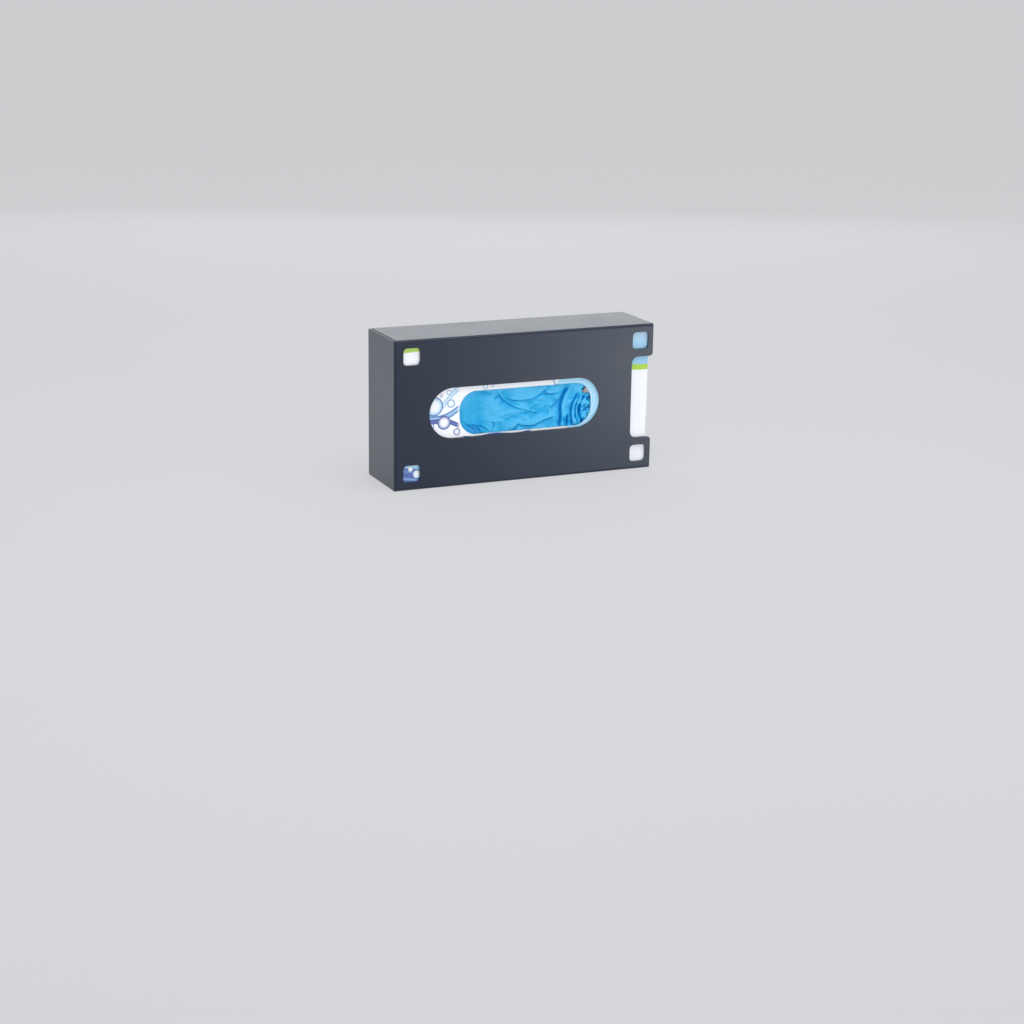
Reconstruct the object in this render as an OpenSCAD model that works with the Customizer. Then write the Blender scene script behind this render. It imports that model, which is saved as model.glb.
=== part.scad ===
// Wall-hung glove dispenser: a folded sheet steel holder that is open at its right end,
// hung on a perforated panel by a hook plate, and loaded with an opened carton of gloves.
// X runs to the right, Y into the wall and Z up. The origin is the centre of the back face.

/* [Carton of gloves] */
// Width of the carton
carton_w = 240; // [180:1:300]
// Height of the carton
carton_h = 127; // [100:1:160]
// Depth of the carton
carton_d = 59; // [45:1:80]
// Thickness of the card
card_t = 0.6; // [0.4:0.1:1.2]
// Outer radius of the card's folds
card_fold_r = 1.2; // [1:0.1:3]
// Width of the torn-out mouth
mouth_w = 126; // [80:1:135]
// Height of the torn-out mouth
mouth_h = 39; // [28:1:42]
// Corner radius of the mouth
mouth_r = 16.5; // [6:0.5:18]
// Mouth centre, to the right of the holder's middle
mouth_x = 0.9; // [-8:0.1:8]
// Mouth centre, above the holder's middle
mouth_z = -2.2; // [-2.5:0.1:2.5]
// Length of a torn perforation nib
nib_len = 0.5; // [0.4:0.1:1]
// Distance between nibs
nib_pitch = 1.5; // [1.5:0.5:6]
// Height of the outer flap glued over each end
end_flap_h = 82; // [40:1:90]

/* [Steel holder] */
// Thickness of the sheet
sheet_t = 1.5; // [1:0.1:2]
// Outer radius of the folds
fold_r = 2.5; // [2.2:0.1:4]
// Room left of the carton
room_left = 1.1; // [0.5:0.1:4]
// Sheet that stands past the carton at the open end
lip_right = 3.4; // [0:0.1:10]
// Room above the carton
room_above = 2; // [0.5:0.1:6]
// Room in front of the carton
room_front = 1; // [0.3:0.1:3]
// Room behind the carton, for the rivet heads
room_behind = 1.5; // [1.2:0.1:4]
// Width of the dispensing slot
slot_w = 162.6; // [140:0.2:170]
// Height of the dispensing slot
slot_h = 44.8; // [43:0.2:56]
// Slot centre, to the right of the holder's middle
slot_x = -9.7; // [-12:0.1:-4]
// Slot centre, above the holder's middle
slot_z = -0.5; // [-2:0.1:2]
// Width of a corner window
window_w = 15.5; // [10:0.5:18]
// Height of a corner window
window_h = 15.2; // [10:0.2:18]
// Corner radius of a window
window_r = 3.5; // [1:0.1:4.5]
// Left windows' centre from the left side
window_left = 15.8; // [12:0.1:18]
// Right windows' centre from the right edge
window_right = 12.5; // [11:0.1:14]
// Windows' centre from the top and the bottom
window_end = 14.6; // [12:0.1:18]
// Depth of the loading notch in the right edge
notch_w = 20.5; // [12:0.5:24]
// Bar of sheet between the loading notch and a window
notch_bar = 6.8; // [5:0.2:12]
// Radius of the notch's inner corners
notch_r = 6; // [2:0.5:9]
// Radius of the notch's outer corners
notch_mouth_r = 3; // [1:0.5:5]
// Radius of the free corners at the open end
free_corner_r = 5; // [2:0.5:8]
// Open seam between the left wall and the top and bottom, across
seam_x = 2.1; // [1:0.1:4.5]
// Open seam between the left wall and the top and bottom, down
seam_z = 0.5; // [0.3:0.1:4.5]
// Height of the flanges at the back
back_flange_h = 22; // [18:1:30]

/* [Hook plate] */
// Thickness of the plate
plate_t = 1.5; // [1:0.1:2]
// Plate set in from the holder's left side
plate_left = 5; // [3:0.5:8]
// Plate set in from the holder's open end
plate_right = 16; // [12:1:24]
// Plate set in from the holder's top and bottom
plate_end = 4; // [2:0.5:5]
// Hole pitch of the perforated panel
panel_pitch = 38; // [30:1:45]
// Side of the panel's square holes
panel_hole = 10; // [9:0.5:12]
// Thickest panel that the hooks take
panel_t = 3; // [2:0.1:5]
// Width of a hook
hook_w = 8; // [5:0.5:8.5]
// Reach of a hook's tip below its stem
hook_drop = 7; // [4:0.5:7]
// Upper hole row, below the holder's top
hook_row_top = 8; // [8:0.5:12]
// Least distance from a hook's middle to the plate's side
hook_side = 25; // [23:1:30]
// Least height of the locating tabs' hole row over the holder's bottom
tab_row_end = 8; // [6:0.5:9]
// Reach of the locating tabs into the panel
tab_reach = 5; // [3:0.5:8]

/* [Rivets] */
// Shank radius of a rivet
rivet_r = 1.6; // [1.2:0.1:2]
// Radius of the set head inside the holder
rivet_head_r = 2.7; // [2.4:0.1:3.5]
// Height of the set head
rivet_head_h = 0.9; // [0.5:0.1:1]
// Rivets in each row
rivet_count = 3; // [2:1:5]
// End rivets set in from the plate's sides
rivet_inset = 14; // [10:1:20]

/* [Gloves] */
// Thickness of the glove on top
top_glove_t = 7.5; // [6.5:0.5:9]
// Thickness of the glove below it
next_glove_t = 2; // [1:0.5:4]
// Air between one glove and the next
glove_gap = 0.3; // [0.2:0.1:0.6]
// Air between the gloves and the carton's walls
glove_room = 5; // [2:0.5:8]
// Size of a small wrinkle
wrinkle = 1; // [0.8:0.1:1.2]
// Least thickness of the top glove, in its deepest folds
glove_least_t = 1.2; // [0.8:0.1:2]

/* [Hidden] */
$fn = 96;
over = 1;
fit = 0.05;

// The holder is built round the carton.
body_w = sheet_t + room_left + carton_w + lip_right;
body_h = carton_h + room_above + 2 * sheet_t;
body_d = carton_d + room_front + room_behind + 2 * sheet_t + plate_t;
left_x = -body_w / 2;
right_x = body_w / 2;
top_z = body_h / 2;
front_y = -body_d;
back_y = -plate_t;
bend_r = fold_r - sheet_t;
countersink = 0.6 * plate_t;

// The carton stands on the holder's floor, against the room left round it.
carton_x0 = left_x + sheet_t + room_left;
carton_x1 = carton_x0 + carton_w;
carton_y0 = front_y + sheet_t + room_front;
carton_y1 = carton_y0 + carton_d;
carton_z0 = -top_z + sheet_t;
carton_z1 = carton_z0 + carton_h;

// The slot keeps its ends inside the windows, and the rivets sit in the flanges.
window_x = [left_x + window_left, right_x - window_right];
notch_h = body_h - 2 * (window_end + window_h / 2 + notch_bar);
rivet_z = top_z - back_flange_h / 2;
plate_x0 = left_x + plate_left;
plate_x1 = right_x - plate_right;

// The hooks and tabs go into the panel's outermost holes that the plate has room for.
hook_x = panel_pitch * floor((plate_x1 - hook_side) / panel_pitch);
hook_row_z = top_z - hook_row_top;
hook_stem_z = hook_row_z - panel_hole / 2;
tab_row_z = hook_row_z - panel_pitch * floor((hook_row_z + top_z - tab_row_end) / panel_pitch);

// Levels of the gloves, counted from the carton's front to its back.
face_behind_card = 1.3;
top_glove_y = carton_y0 + card_t + face_behind_card + top_glove_t;
next_glove_y = top_glove_y + glove_gap + next_glove_t;
stack_y0 = next_glove_y + glove_gap;
stack_y1 = carton_y1 - card_t - glove_gap;

// Outline of the top glove, in half widths and half heights of the mouth from its centre.
glove_s0 = -1.18;
glove_s1 = 1.05;
palm_s = -0.1;
palm_half = 1.15;
cuff_half = 1.25;
palm_rise = 1.05;
// Share of the rows and half height that lie in the mouth, and how the columns crowd.
seen_rows = 0.75;
seen_half = 1.04;
crowding = 0.3;

module rounded_rect(w, h, r) {
    square([w, h - 2 * r], center = true);
    square([w - 2 * r, h], center = true);
    for (sx = [-1, 1], sy = [-1, 1])
        translate([sx * (w / 2 - r), sy * (h / 2 - r)])
            circle(r);
}

// What has to come off a square corner at the origin to round it: the corner points to +X +Y.
module corner_waste(r) {
    difference() {
        translate([-r, -r])
            square([r + over, r + over]);
        translate([-r, -r])
            circle(r);
        translate([-2 * r - over, -2 * r - over])
            square([r + over, 2 * r + 2 * over + r]);
        translate([-2 * r - over, -2 * r - over])
            square([2 * r + 2 * over + r, r + over]);
    }
}

// Stands a drawing of X and Z up, and gives it depth from y0 to y1.
module through_y(y0, y1) {
    translate([0, y1, 0])
        rotate([90, 0, 0])
            linear_extrude(y1 - y0)
                children();
}

// Stands a drawing of Y and Z up, and gives it length from x0 to x1.
module along_x(x0, x1) {
    translate([x0, 0, 0])
        rotate([90, 0, 90])
            linear_extrude(x1 - x0)
                children();
}

// A block whose edges along X and whose front left edge are rounded, as a folded box's are.
module folded_block(x0, x1, y0, y1, z1, r) {
    intersection() {
        along_x(x0, x1)
            translate([(y0 + y1) / 2, 0])
                rounded_rect(y1 - y0, 2 * z1, r);
        translate([0, 0, -z1])
            linear_extrude(2 * z1)
                difference() {
                    translate([x0, y0])
                        square([x1 - x0, y1 - y0]);
                    translate([x0, y0])
                        rotate(180)
                            corner_waste(r);
                }
    }
}

module slot_drawing() {
    translate([slot_x, slot_z])
        rounded_rect(slot_w, slot_h, slot_h / 2 - 0.001);
}

module window_drawings() {
    for (x = window_x, side = [-1, 1])
        translate([x, side * (top_z - window_end)])
            rounded_rect(window_w, window_h, window_r);
}

module notch_drawing() {
    translate([right_x - notch_w + (notch_w + 2 * notch_r) / 2, 0])
        rounded_rect(notch_w + 2 * notch_r, notch_h, notch_r);
    for (side = [0, 1])
        mirror([0, side])
            translate([right_x, notch_h / 2])
                mirror([0, 1])
                    corner_waste(notch_mouth_r);
}

// The open seams between the left wall and the walls above and below it.
module seams() {
    for (side = [0, 1])
        mirror([0, 0, side])
            translate([left_x - over, front_y + fold_r + sheet_t, top_z - seam_z])
                cube([seam_x + over, body_d, seam_z + over]);
}

// The back is open but for a flange along the top and one along the bottom.
module back_opening() {
    flange_x0 = left_x + sheet_t + bend_r;
    flange_x1 = right_x - plate_right + plate_left;
    translate([left_x + sheet_t, back_y - fold_r, -top_z + back_flange_h])
        cube([body_w, fold_r + over, body_h - 2 * back_flange_h]);
    translate([flange_x1, back_y - fold_r, -top_z - over])
        cube([body_w, fold_r + over, body_h + 2 * over]);
    translate([left_x + sheet_t, back_y - fold_r, -top_z - over])
        cube([flange_x0 - left_x - sheet_t, fold_r + over, body_h + 2 * over]);
}

module free_corners() {
    translate([right_x, back_y - fold_r, -top_z - over])
        linear_extrude(body_h + 2 * over)
            corner_waste(free_corner_r);
}

// Places one child at each rivet.
module at_rivets() {
    first = plate_x0 + rivet_inset;
    step = (plate_x1 - plate_x0 - 2 * rivet_inset) / (rivet_count - 1);
    for (i = [0 : rivet_count - 1], side = [-1, 1])
        translate([first + i * step, 0, side * rivet_z])
            rotate([90, 0, 0])
                children();
}

module holder_shell() {
    color([0.25, 0.28, 0.32])
        difference() {
            folded_block(left_x, right_x, front_y, back_y, top_z, fold_r);
            folded_block(left_x + sheet_t, right_x + over, front_y + sheet_t, back_y - sheet_t,
                         top_z - sheet_t, bend_r);
            through_y(front_y - over, front_y + sheet_t + over) {
                slot_drawing();
                window_drawings();
                notch_drawing();
            }
            seams();
            back_opening();
            free_corners();
            at_rivets()
                cylinder(r = rivet_r + fit, h = body_d / 2);
        }
}

// Side view of a tongue bent out of the plate: its stem runs back from the bend at the origin.
module tongue_drawing(reach) {
    difference() {
        translate([bend_r, 0])
            circle(bend_r + plate_t);
        translate([bend_r, 0])
            circle(bend_r);
        translate([-fold_r, 0])
            square([3 * fold_r, 2 * fold_r]);
        translate([bend_r, -2 * fold_r])
            square([2 * fold_r, 3 * fold_r]);
    }
    translate([bend_r, -bend_r - plate_t])
        square([reach - bend_r, plate_t]);
}

// Side view of the tip that turns down behind the panel, from the end of the stem.
module tip_drawing() {
    turn_y = panel_t - bend_r;
    difference() {
        translate([turn_y, -2 * bend_r - plate_t])
            circle(bend_r + plate_t);
        translate([turn_y, -2 * bend_r - plate_t])
            circle(bend_r);
        translate([turn_y - 2 * fold_r, -4 * fold_r])
            square([2 * fold_r, 5 * fold_r]);
        translate([turn_y - over, -4 * fold_r - 2 * bend_r - plate_t])
            square([3 * fold_r, 4 * fold_r]);
    }
    translate([panel_t, -bend_r - plate_t - hook_drop])
        square([plate_t, hook_drop - bend_r]);
}

// The hole that a tongue of this reach leaves in the plate.
module tongue_hole(x, z, reach) {
    kerf = 0.5;
    translate([x - hook_w / 2 - kerf, -plate_t - over, z - reach - kerf])
        cube([hook_w + 2 * kerf, plate_t + 2 * over, reach + kerf]);
}

module hook_plate() {
    bend_z = [hook_stem_z + bend_r + plate_t, tab_row_z - panel_hole / 2 + bend_r + plate_t];
    hook_len = panel_t + hook_drop + plate_t;
    color([0.25, 0.28, 0.32]) {
        difference() {
            through_y(-plate_t, 0)
                translate([(plate_x0 + plate_x1) / 2, 0])
                    rounded_rect(plate_x1 - plate_x0, body_h - 2 * plate_end, free_corner_r);
            for (x = [-hook_x, hook_x]) {
                tongue_hole(x, bend_z[0], hook_len);
                tongue_hole(x, bend_z[1], tab_reach);
            }
            at_rivets() {
                cylinder(r = rivet_r + fit, h = plate_t + over);
                translate([0, 0, -fit])
                    cylinder(r1 = rivet_head_r + 2 * fit, r2 = rivet_r + fit, h = countersink);
            }
        }
        for (x = [-hook_x, hook_x]) {
            along_x(x - hook_w / 2, x + hook_w / 2)
                translate([0, bend_z[0]]) {
                    tongue_drawing(panel_t - bend_r);
                    tip_drawing();
                }
            along_x(x - hook_w / 2, x + hook_w / 2)
                translate([0, bend_z[1]])
                    tongue_drawing(tab_reach);
        }
    }
}

module rivets() {
    grip = plate_t + sheet_t;
    color("silver")
        at_rivets() {
            cylinder(r1 = rivet_head_r, r2 = rivet_r, h = countersink);
            cylinder(r = rivet_r, h = grip);
            translate([0, 0, grip])
                cylinder(r1 = rivet_head_r, r2 = rivet_head_r * 0.7, h = rivet_head_h);
        }
}

module mouth_drawing() {
    translate([mouth_x, mouth_z])
        rounded_rect(mouth_w, mouth_h, mouth_r);
}

// The nibs that stay when the perforated panel is torn out, along the mouth's long edges.
module nibs() {
    run = mouth_w - 2 * mouth_r;
    count = floor(run / nib_pitch);
    for (i = [0 : count], side = [-1, 1])
        translate([mouth_x - count * nib_pitch / 2 + i * nib_pitch,
                   mouth_z + side * (mouth_h / 2 - nib_len / 2 + fit)])
            square([nib_len, nib_len + 2 * fit], center = true);
}

// One folded card blank: four walls, dust flaps and two flaps glued over them at each end.
module carton() {
    mid_y = (carton_y0 + carton_y1) / 2;
    mid_z = (carton_z0 + carton_z1) / 2;
    wall_x0 = carton_x0 + 2 * card_t;
    wall_x1 = carton_x1 - 2 * card_t;
    color("white")
        difference() {
            union() {
                along_x(wall_x0, wall_x1)
                    translate([mid_y, mid_z])
                        rounded_rect(carton_d, carton_h, card_fold_r);
                for (end = [[carton_x0 + card_t, wall_x0], [wall_x1, carton_x1 - card_t]])
                    along_x(end[0], end[1])
                        translate([mid_y, mid_z])
                            rounded_rect(carton_d - card_t, carton_h, card_fold_r);
                for (end = [[carton_x0, carton_x0 + card_t], [carton_x1 - card_t, carton_x1]])
                    along_x(end[0], end[1])
                        translate([mid_y, carton_z1 - end_flap_h / 2])
                            rounded_rect(carton_d - card_t, end_flap_h, card_fold_r);
            }
            along_x(wall_x0, wall_x1)
                translate([mid_y, mid_z])
                    rounded_rect(carton_d - 2 * card_t, carton_h - 2 * card_t,
                                 card_fold_r - card_t);
            through_y(carton_y0 - over, carton_y0 + card_t + over)
                difference() {
                    mouth_drawing();
                    nibs();
                }
        }
}

// Folds of the top glove. Each has its line, in half widths and half heights of the mouth from
// its centre, and then the valley's depth and half width and the height of the lip beside it,
// in small wrinkles. The lip lies to the left of the line as it is drawn.
FOLDS = [
    [[[-0.45, 1.1], [-0.38, 0.72], [-0.3, 0.42], [-0.15, 0.1], [0, -0.02], [0.12, -0.12],
      [0.22, -0.22]], 1.1, 0.7, 0.6],
    [[[-0.26, 0.5], [-0.14, 0.42], [0, 0.42], [0.1, 0.5], [0.2, 0.66], [0.3, 0.92]],
     1, 0.9, 0.6],
    [[[-0.22, -1.05], [-0.14, -0.68], [-0.05, -0.72], [0.08, -0.7], [0.2, -0.56],
      [0.3, -0.42], [0.39, -0.36]], 1.7, 1.1, 0.7],
    [[[0.26, 0.82], [0.28, 0.62], [0.36, 0.54], [0.48, 0.6]], 1.2, 0.9, 0.4],
    [[[0.32, 0.14], [0.36, -0.02], [0.42, 0.1], [0.49, 0.34]], 0.9, 0.7, 0.3],
    [[[0.66, 1.05], [0.58, 0.76], [0.53, 0.42], [0.54, 0], [0.55, -0.4], [0.5, -1.1]],
     5, 1.3, 0.8],
    [[[0.66, 0.2], [0.64, -0.3], [0.62, -0.6], [0.61, -1.1]], 3, 1.1, 0.4],
    [[[0.84, 0.62], [0.76, 0.4], [0.7, 0.1], [0.7, -0.3], [0.73, -1.1]], 4, 1, 0.7],
    [[[0.98, 0.8], [0.88, 0.3], [0.8, 0.05], [0.8, -0.4], [0.86, -1]], 3, 1.2, 0.8],
    [[[-0.95, -0.42], [-0.78, -0.46], [-0.64, -0.64], [-0.56, -0.86]], 0.8, 0.7, 0.3],
    [[[-0.34, -0.2], [-0.2, -0.08], [-0.08, 0.02]], 0.5, 0.9, 0.1],
    [[[-0.14, -0.16], [0, -0.1], [0.1, -0.04]], 0.5, 0.9, 0.1],
    [[[-0.72, 0.92], [-0.6, 0.8], [-0.5, 0.72]], 0.7, 1.4, 0.1]
];

function nearest(p, a, b) =
    let (ab = b - a, t = max(0, min(1, ((p - a) * ab) / (ab * ab))))
    a + t * ab;
function bell(d) = exp(-d * d);
// Distance from a line of points, with its sign from the side of the nearest stretch.
function side_distance(p, line) =
    let (ds = [for (i = [0 : len(line) - 2])
                   let (q = nearest(p, line[i], line[i + 1]), ab = line[i + 1] - line[i],
                        turn = ab[0] * (p - q)[1] - ab[1] * (p - q)[0])
                   [norm(p - q), turn < 0 ? -1 : 1]],
         least = min([for (d = ds) d[0]]))
    [for (d = ds) if (d[0] == least) d[0] * d[1]][0];
function fold_height(p, fold) =
    let (scale = [mouth_w / 2, mouth_h / 2],
         line = [for (q = fold[0]) [q[0] * scale[0], q[1] * scale[1]]],
         d = side_distance(p, line), half = wrinkle * fold[2])
    wrinkle * (fold[3] * bell((d - 2 * half) / (1.4 * half)) - fold[1] * bell(d / half));

// Height of the glove over its flat back, at a place counted from the mouth's centre.
function glove_height(p) =
    let (slack = 0.35 * wrinkle * sin(p[0] / wrinkle * 5 + 40) * cos(p[1] / wrinkle * 6),
         sum = [for (fold = FOLDS) fold_height(p, fold)] * [for (fold = FOLDS) 1])
    max(glove_least_t, top_glove_t + slack + sum);

// Half height of the glove's outline: the palm is broad and the cuff is drawn together.
function glove_half(s) =
    mouth_h / 2 * (cuff_half + palm_rise * sqrt(max(0, 1 - pow((s - palm_s) / palm_half, 2))));
// Place of a row across the glove: most rows lie in the mouth, the rest spread to the outline.
function row_place(s, t) =
    let (seen = seen_half * mouth_h / 2, a = abs(t))
    sign(t) * (a < seen_rows
               ? a / seen_rows * seen
               : seen + (a - seen_rows) / (1 - seen_rows) * (glove_half(s) - seen));
// Place of a column along the glove: they crowd towards the gathered cuff.
function column_place(c) = glove_s0 + (glove_s1 - glove_s0 + crowding) * c - crowding * c * c;
// How far the glove has risen from its rim, up to 1.
function rim_rise(s, t) = min(1, 4 * (1 - abs(t)), 12 * (s - glove_s0), 14 * (glove_s1 - s));

module top_glove() {
    cols = 54;
    rows = 22;
    grid = [for (i = [0 : cols]) let (s = column_place(i / cols))
                [for (j = [0 : rows]) let (t = 2 * j / rows - 1)
                     let (x = s * mouth_w / 2, z = row_place(s, t),
                          edge = max(0.16, sqrt(max(0, rim_rise(s, t)))))
                     [x, z, glove_height([x, z]) * edge]]];
    count = (cols + 1) * (rows + 1);
    upper = [for (col = grid, p = col) [mouth_x + p[0], top_glove_y - p[2], mouth_z + p[1]]];
    lower = [for (col = grid, p = col) [mouth_x + p[0], top_glove_y, mouth_z + p[1]]];
    function at(i, j) = i * (rows + 1) + j;
    rim = concat([for (i = [0 : cols - 1]) at(i, 0)], [for (j = [0 : rows - 1]) at(cols, j)],
                 [for (i = [cols : -1 : 1]) at(i, rows)], [for (j = [rows : -1 : 1]) at(0, j)]);
    cells = [for (i = [0 : cols - 1], j = [0 : rows - 1])
                 [at(i, j), at(i, j + 1), at(i + 1, j + 1), at(i + 1, j)]];
    faces = concat(
        [for (q = cells) [q[0], q[1], q[3]]],
        [for (q = cells) [q[3], q[1], q[2]]],
        [for (q = cells) [q[0] + count, q[3] + count, q[1] + count]],
        [for (q = cells) [q[3] + count, q[2] + count, q[1] + count]],
        [for (k = [0 : len(rim) - 1]) let (a = rim[k], b = rim[(k + 1) % len(rim)])
             each [[a, b, b + count], [a, b + count, a + count]]]);
    color("deepskyblue")
        polyhedron(concat(upper, lower), faces);
}

// A folded glove flattened by the ones above it.
module flat_glove(w, h, y0, y1, r) {
    through_y(y0, y1)
        translate([(carton_x0 + carton_x1) / 2, (carton_z0 + carton_z1) / 2])
            rounded_rect(w, h, r);
}

module next_glove() {
    color("dodgerblue")
        flat_glove(carton_w - 6 * glove_room, carton_h - 4 * glove_room, next_glove_y - next_glove_t,
                   next_glove_y, mouth_r);
}

module glove_stack() {
    color("dodgerblue")
        flat_glove(carton_w - 2 * glove_room, carton_h - 2 * glove_room, stack_y0, stack_y1,
                   mouth_r);
}

holder_shell();
hook_plate();
rivets();
carton();
top_glove();
next_glove();
glove_stack();
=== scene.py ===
import math

import bpy
import numpy as np
from mathutils import Matrix, Vector


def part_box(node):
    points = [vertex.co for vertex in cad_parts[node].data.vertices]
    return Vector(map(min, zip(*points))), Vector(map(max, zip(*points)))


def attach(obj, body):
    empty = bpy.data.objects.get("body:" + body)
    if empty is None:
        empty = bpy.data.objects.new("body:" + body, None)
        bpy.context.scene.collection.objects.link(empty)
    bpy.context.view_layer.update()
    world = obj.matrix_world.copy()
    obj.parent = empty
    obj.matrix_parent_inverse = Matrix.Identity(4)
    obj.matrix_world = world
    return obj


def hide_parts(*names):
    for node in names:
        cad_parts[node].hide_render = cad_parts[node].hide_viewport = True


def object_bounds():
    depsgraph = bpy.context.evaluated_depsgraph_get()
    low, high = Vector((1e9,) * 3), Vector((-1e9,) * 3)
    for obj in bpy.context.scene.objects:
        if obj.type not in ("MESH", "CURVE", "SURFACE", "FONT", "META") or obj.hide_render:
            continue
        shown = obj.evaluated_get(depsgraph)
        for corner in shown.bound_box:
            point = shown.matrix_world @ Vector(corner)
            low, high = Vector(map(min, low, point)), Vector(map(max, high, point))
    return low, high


bl_info = {
    "name": "Wall-hung Glove Dispenser",
    "version": (1, 0, 0),
    "blender": (4, 5, 0),
    "location": "3D View > Sidebar > Glove Dispenser",
    "description": "Dresses the packed glove dispenser with its coat, carton, gloves and studio",
    "category": "Add Mesh",
}

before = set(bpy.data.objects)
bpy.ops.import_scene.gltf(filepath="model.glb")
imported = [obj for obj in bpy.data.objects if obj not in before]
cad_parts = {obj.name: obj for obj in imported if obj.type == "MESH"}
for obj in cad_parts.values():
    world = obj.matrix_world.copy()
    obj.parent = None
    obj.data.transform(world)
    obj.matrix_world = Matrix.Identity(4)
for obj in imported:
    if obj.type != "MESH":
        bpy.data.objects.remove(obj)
CAD_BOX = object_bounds()
MM = 0.001
BODY = "root"

# Boxes of the carton and the two upper gloves, read from the frame.
CARTON_LOW, CARTON_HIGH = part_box("carton")
GLOVE_LOW, GLOVE_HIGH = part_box("top_glove")
NEXT_LOW, NEXT_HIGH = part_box("next_glove")

# The card, and the mouth that is torn out of the carton's front.
CARD_T = 0.6 * MM
MOUTH_W = 126 * MM
MOUTH_H = 39 * MM
MOUTH_X = 0.9 * MM
MOUTH_Z = -2.2 * MM
MOUTH_R = 16.5 * MM

# Folds of the top glove, in millimetres from the mouth's centre. Each has the points of its line,
# then the valley's depth and half width, and the height and lean of the lip on the line's left.
FOLDS = [
    ([(-28, 19), (-24, 12.5), (-21, 8.5), (-16, 5), (-9, 1.3), (-1, -1.2), (6, -3.2), (13, -5.5)],
     0.85, 0.5, 0.7, 0.35),
    ([(-16, 9), (-9, 7.5), (-2, 7.3), (5, 8.2), (11, 10.4), (17, 13.5), (21, 17.5)],
     1.1, 0.8, 0.9, 0.5),
    ([(18.7, 14.5), (19.2, 12), (24, 10.8), (30, 11)], 1.3, 0.8, 0.7, 0.3),
    ([(22.7, 2), (24.2, -0.5), (27.2, 1), (31.2, 5), (35.2, 10)], 1.1, 0.5, 0.5, 0.3),
    ([(22.2, 1), (21.7, -3), (20.7, -8), (15, -11)], 0.5, 0.4, 0.35, 0.1),
    ([(-12.8, -20), (-9.8, -16.5), (-6.8, -14), (-3.8, -15), (3.2, -16), (9.2, -15.5),
      (15.2, -13.5), (21.2, -11), (27.2, -9.8)], 1.6, 1.05, 0.9, 0.5),
    ([(41.2, 15.5), (37.2, 9), (34.9, 2), (34.7, -5), (35.2, -11), (33.5, -20)],
     2.7, 1.15, 1.1, 0.5),
    ([(42.2, -8), (41.5, -13), (40.6, -20)], 2.3, 0.8, 0.6, 0.3),
    ([(38.2, -7), (38.4, -13), (37.6, -20)], 0.7, 0.5, 0.4, 0.2),
    ([(52.2, 10), (49.2, 6), (46.2, 1), (44.9, -5), (45.2, -11), (46.4, -20)],
     2.4, 0.9, 0.9, 0.4),
    ([(54.5, 9.5), (51.6, 5), (49.8, 0), (48.9, -8), (50.2, -13), (51.6, -18)], 1.4, 0.7, 0.7, 0.3),
    ([(57.5, 7.5), (54.8, 2), (53.2, -4), (53.4, -10), (55.2, -15)], 2.0, 0.8, 0.8, 0.3),
    ([(-56.8, -10.5), (-46.8, -11.7), (-38.8, -14.5), (-34.3, -18)], 0.7, 0.45, 0.5, 0.2),
    ([(-34.3, -10), (-29.3, -11.7), (-31.8, -17)], 0.8, 0.6, 0.5, 0.2),
    ([(-21.8, -5.5), (-11.8, -4), (-3.8, -2)], 0.5, 1.0, 0.15, 0),
    ([(-9.8, -5), (-2, -4.2), (5.2, -3.5)], 0.45, 1.0, 0.15, 0),
    ([(-27.8, -11), (-16.8, -8), (-8.8, -5)], 0.35, 1.2, 0.15, 0),
    ([(-44, 17.5), (-37, 16.5), (-31, 14.5)], 0.9, 1.3, 0.2, 0),
    ([(-31, 10.5), (-29, 12), (-25.5, 13)], 0.8, 0.8, 0.3, 0),
    ([(28.5, -16), (29.4, -9), (29.2, -2)], 0.25, 0.8, 0.3, 0),
    ([(-58, -8), (-50, -14), (-46, -18)], 0.6, 1.0, 0.3, 0.1),
    ([(-52, -9), (-44, -16), (-41, -20)], 0.5, 0.8, 0.4, 0.1),
]

# Broad drapes of the palm: each has its turn in degrees, the share by which it is drawn out
# sideways, its size, its height and the seed of its noise.
DRAPES = ((28, 0.3, 5.5, 0.42, 9), (-24, 0.28, 4.6, 0.34, 10), (8, 0.35, 3.1, 0.22, 5))

# Place that the cuff's arcs and pleats run round.
CUFF_MIDDLE = (67, -4)

# Camera that was fitted to the photo's view, with its turns in degrees.
CAMERA_PLACE = (-0.7609, -1.75167, 0.41893)
CAMERA_TURN, CAMERA_TILT, CAMERA_ROLL = -23.95, 15.56, 0.85

# Tints of the lamps and the world, and the world's level where a piece mirrors it.
LAMP_TINT = (0.95, 0.98, 1)
WORLD_TINT = (0.98, 0.99, 1, 1)
MIRRORED_WORLD = 0.9

# Crumpled cuff: each tuck has its middle, half length, half width, turn in degrees and height.
TUCKS = [
    (58.4, 11.6, 3.4, 2.6, 35, -4.6), (52.2, -5.5, 3.6, 1.1, 86, -3.0),
    (55.2, -15.5, 3.2, 1.0, 70, -3.2), (61.3, 4.6, 2.6, 1.8, 60, -2.6),
    (60.6, -4.6, 2.6, 1.2, 20, -2.4), (54.3, 1.6, 2.6, 1.2, 40, 1.2),
    (58.6, -11.0, 3.6, 1.7, 35, 1.3), (56.5, -2.6, 2.4, 0.7, 25, -1.7),
    (57.6, -6.6, 2.2, 0.6, 10, -1.6), (56.2, 4.8, 2.2, 0.8, 50, -1.8),
    (59.2, 0.4, 1.8, 0.9, 75, 1.1), (53.6, -10.4, 2.2, 0.7, 80, 1.0),
    (50.4, -12.5, 3.4, 0.8, 82, 1.0), (56.8, -8.7, 1.6, 0.5, 65, 0.9),
    (54.6, -2.0, 1.4, 0.5, 100, 0.9), (58.3, -2.0, 1.4, 0.5, 10, 0.9),
]


def deselect_all():
    """Leaves object mode with nothing selected."""
    if bpy.context.mode != "OBJECT":
        bpy.ops.object.mode_set(mode="OBJECT")
    bpy.ops.object.select_all(action="DESELECT")


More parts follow.
